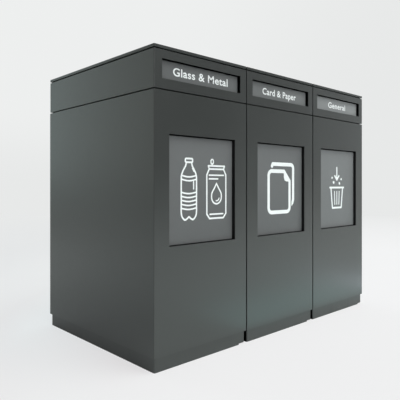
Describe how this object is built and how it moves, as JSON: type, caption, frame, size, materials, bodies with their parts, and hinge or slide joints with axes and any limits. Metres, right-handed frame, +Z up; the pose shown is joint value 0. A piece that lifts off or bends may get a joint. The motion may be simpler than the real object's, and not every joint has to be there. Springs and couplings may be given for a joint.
{
  "type": "recycling bin station",
  "caption": "Free-standing recycling station of linked sheet-metal cabinets with inward push flaps, sign slots, flat lids, rear service doors and lift-out liners.",
  "frame": {"origin": "on the floor at the centre of the footprint", "axes": "+X to the right along the row of cabinets seen from the front, +Y from the front towards the rear doors, +Z up; the flaps face -Y"},
  "size_m": [1.522, 0.838, 1.205],
  "materials": {
    "charcoal_paint": "satin dark charcoal powder coat with a fine texture",
    "plinth_paint": "satin charcoal powder coat, slightly darker",
    "flap_paint": "matt mid-grey powder coat",
    "sign_paint": "matt mid-grey powder coat",
    "black_paint": "matt black powder coat",
    "galvanised": "galvanised sheet, dull",
    "bright_steel": "drawn bright steel",
    "spring_steel": "oiled spring wire",
    "zinc_plate": "zinc plated",
    "lock_chrome": "polished chrome",
    "liner_plastic": "rotationally moulded polyethylene, matt grey",
    "handle_wire": "zinc plated wire",
    "foot_nylon": "black moulded nylon"
  },
  "bodies": {
    "cabinet": {"bottle_plinth": "plinth_paint", "bottle_floor_pan": "galvanised", "bottle_body_shell": "charcoal_paint", "bottle_header_box": "charcoal_paint", "bottle_lid": "charcoal_paint", "bottle_sign_panel": "sign_paint", "bottle_flap_frame": "black_paint", "bottle_flap_rod": "bright_steel", "bottle_rear_hinge_pin": "bright_steel", "paper_plinth": "plinth_paint", "paper_floor_pan": "galvanised", "paper_body_shell": "charcoal_paint", "paper_header_box": "charcoal_paint", "paper_lid": "charcoal_paint", "paper_sign_panel": "sign_paint", "paper_flap_frame": "black_paint", "paper_flap_rod": "bright_steel", "paper_rear_hinge_pin": "bright_steel", "waste_plinth": "plinth_paint", "waste_floor_pan": "galvanised", "waste_body_shell": "charcoal_paint", "waste_header_box": "charcoal_paint", "waste_lid": "charcoal_paint", "waste_sign_panel": "sign_paint", "waste_flap_frame": "black_paint", "waste_flap_rod": "bright_steel", "waste_rear_hinge_pin": "bright_steel", "link_bolt_left": "zinc_plate", "link_bolt_right": "zinc_plate"},
    "flap_bottle": {"bottle_flap": "flap_paint", "bottle_flap_spring": "spring_steel"},
    "door_bottle": {"bottle_rear_door": "charcoal_paint"},
    "lock_bottle": {"bottle_lock_cam": "lock_chrome"},
    "liner_bottle": {"bottle_liner": "liner_plastic"},
    "handle_bottle": {"bottle_liner_handle": "handle_wire"},
    "foot_front_left_bottle": {"bottle_foot_front_left": "foot_nylon"},
    "foot_front_right_bottle": {"bottle_foot_front_right": "foot_nylon"},
    "foot_rear_left_bottle": {"bottle_foot_rear_left": "foot_nylon"},
    "foot_rear_right_bottle": {"bottle_foot_rear_right": "foot_nylon"},
    "flap_paper": {"paper_flap": "flap_paint", "paper_flap_spring": "spring_steel"},
    "door_paper": {"paper_rear_door": "charcoal_paint"},
    "lock_paper": {"paper_lock_cam": "lock_chrome"},
    "liner_paper": {"paper_liner": "liner_plastic"},
    "handle_paper": {"paper_liner_handle": "handle_wire"},
    "foot_front_left_paper": {"paper_foot_front_left": "foot_nylon"},
    "foot_front_right_paper": {"paper_foot_front_right": "foot_nylon"},
    "foot_rear_left_paper": {"paper_foot_rear_left": "foot_nylon"},
    "foot_rear_right_paper": {"paper_foot_rear_right": "foot_nylon"},
    "flap_waste": {"waste_flap": "flap_paint", "waste_flap_spring": "spring_steel"},
    "door_waste": {"waste_rear_door": "charcoal_paint"},
    "lock_waste": {"waste_lock_cam": "lock_chrome"},
    "liner_waste": {"waste_liner": "liner_plastic"},
    "handle_waste": {"waste_liner_handle": "handle_wire"},
    "foot_front_left_waste": {"waste_foot_front_left": "foot_nylon"},
    "foot_front_right_waste": {"waste_foot_front_right": "foot_nylon"},
    "foot_rear_left_waste": {"waste_foot_rear_left": "foot_nylon"},
    "foot_rear_right_waste": {"waste_foot_rear_right": "foot_nylon"}
  },
  "joints": [
    {"name": "flap_push_bottle", "type": "hinge", "parent": "cabinet", "child": "flap_bottle", "pos_m": [-0.509, -0.391, 0.867], "axis": [1, 0, 0], "range_deg": [0, 60], "stiffness_Nm_per_rad": 0.8, "springref_deg": -40.11, "deforming": ["bottle_flap_spring"]},
    {"name": "door_swing_bottle", "type": "hinge", "parent": "cabinet", "child": "door_bottle", "pos_m": [-0.737, 0.411, 0.605], "axis": [0, 0, 1], "range_deg": [0, 110]},
    {"name": "lock_turn_bottle", "type": "hinge", "parent": "door_bottle", "child": "lock_bottle", "pos_m": [-0.309, 0.405, 0.605], "axis": [0, -1, 0], "range_deg": [0, 90]},
    {"name": "liner_lift_bottle", "type": "slide", "parent": "cabinet", "child": "liner_bottle", "axis": [0, 0, 1], "range_m": [0, 0.03]},
    {"name": "handle_fold_bottle", "type": "hinge", "parent": "liner_bottle", "child": "handle_bottle", "pos_m": [-0.509, 0.311, 0.705], "axis": [1, 0, 0], "range_deg": [0, 95]},
    {"name": "screw_foot_front_left_bottle", "type": "slide", "parent": "cabinet", "child": "foot_front_left_bottle", "axis": [0, 0, -1], "range_m": [0, 0.012]},
    {"name": "screw_foot_front_right_bottle", "type": "slide", "parent": "cabinet", "child": "foot_front_right_bottle", "axis": [0, 0, -1], "range_m": [0, 0.012]},
    {"name": "screw_foot_rear_left_bottle", "type": "slide", "parent": "cabinet", "child": "foot_rear_left_bottle", "axis": [0, 0, -1], "range_m": [0, 0.012]},
    {"name": "screw_foot_rear_right_bottle", "type": "slide", "parent": "cabinet", "child": "foot_rear_right_bottle", "axis": [0, 0, -1], "range_m": [0, 0.012]},
    {"name": "flap_push_paper", "type": "hinge", "parent": "cabinet", "child": "flap_paper", "pos_m": [0, -0.391, 0.867], "axis": [1, 0, 0], "range_deg": [0, 60], "stiffness_Nm_per_rad": 0.8, "springref_deg": -40.11, "deforming": ["paper_flap_spring"]},
    {"name": "door_swing_paper", "type": "hinge", "parent": "cabinet", "child": "door_paper", "pos_m": [-0.228, 0.411, 0.605], "axis": [0, 0, 1], "range_deg": [0, 110]},
    {"name": "lock_turn_paper", "type": "hinge", "parent": "door_paper", "child": "lock_paper", "pos_m": [0.2, 0.405, 0.605], "axis": [0, -1, 0], "range_deg": [0, 90]},
    {"name": "liner_lift_paper", "type": "slide", "parent": "cabinet", "child": "liner_paper", "axis": [0, 0, 1], "range_m": [0, 0.03]},
    {"name": "handle_fold_paper", "type": "hinge", "parent": "liner_paper", "child": "handle_paper", "pos_m": [0, 0.311, 0.705], "axis": [1, 0, 0], "range_deg": [0, 95]},
    {"name": "screw_foot_front_left_paper", "type": "slide", "parent": "cabinet", "child": "foot_front_left_paper", "axis": [0, 0, -1], "range_m": [0, 0.012]},
    {"name": "screw_foot_front_right_paper", "type": "slide", "parent": "cabinet", "child": "foot_front_right_paper", "axis": [0, 0, -1], "range_m": [0, 0.012]},
    {"name": "screw_foot_rear_left_paper", "type": "slide", "parent": "cabinet", "child": "foot_rear_left_paper", "axis": [0, 0, -1], "range_m": [0, 0.012]},
    {"name": "screw_foot_rear_right_paper", "type": "slide", "parent": "cabinet", "child": "foot_rear_right_paper", "axis": [0, 0, -1], "range_m": [0, 0.012]},
    {"name": "flap_push_waste", "type": "hinge", "parent": "cabinet", "child": "flap_waste", "pos_m": [0.509, -0.391, 0.867], "axis": [1, 0, 0], "range_deg": [0, 60], "stiffness_Nm_per_rad": 0.8, "springref_deg": -40.11, "deforming": ["waste_flap_spring"]},
    {"name": "door_swing_waste", "type": "hinge", "parent": "cabinet", "child": "door_waste", "pos_m": [0.281, 0.411, 0.605], "axis": [0, 0, 1], "range_deg": [0, 110]},
    {"name": "lock_turn_waste", "type": "hinge", "parent": "door_waste", "child": "lock_waste", "pos_m": [0.709, 0.405, 0.605], "axis": [0, -1, 0], "range_deg": [0, 90]},
    {"name": "liner_lift_waste", "type": "slide", "parent": "cabinet", "child": "liner_waste", "axis": [0, 0, 1], "range_m": [0, 0.03]},
    {"name": "handle_fold_waste", "type": "hinge", "parent": "liner_waste", "child": "handle_waste", "pos_m": [0.509, 0.311, 0.705], "axis": [1, 0, 0], "range_deg": [0, 95]},
    {"name": "screw_foot_front_left_waste", "type": "slide", "parent": "cabinet", "child": "foot_front_left_waste", "axis": [0, 0, -1], "range_m": [0, 0.012]},
    {"name": "screw_foot_front_right_waste", "type": "slide", "parent": "cabinet", "child": "foot_front_right_waste", "axis": [0, 0, -1], "range_m": [0, 0.012]},
    {"name": "screw_foot_rear_left_waste", "type": "slide", "parent": "cabinet", "child": "foot_rear_left_waste", "axis": [0, 0, -1], "range_m": [0, 0.012]},
    {"name": "screw_foot_rear_right_waste", "type": "slide", "parent": "cabinet", "child": "foot_rear_right_waste", "axis": [0, 0, -1], "range_m": [0, 0.012]}
  ]
}
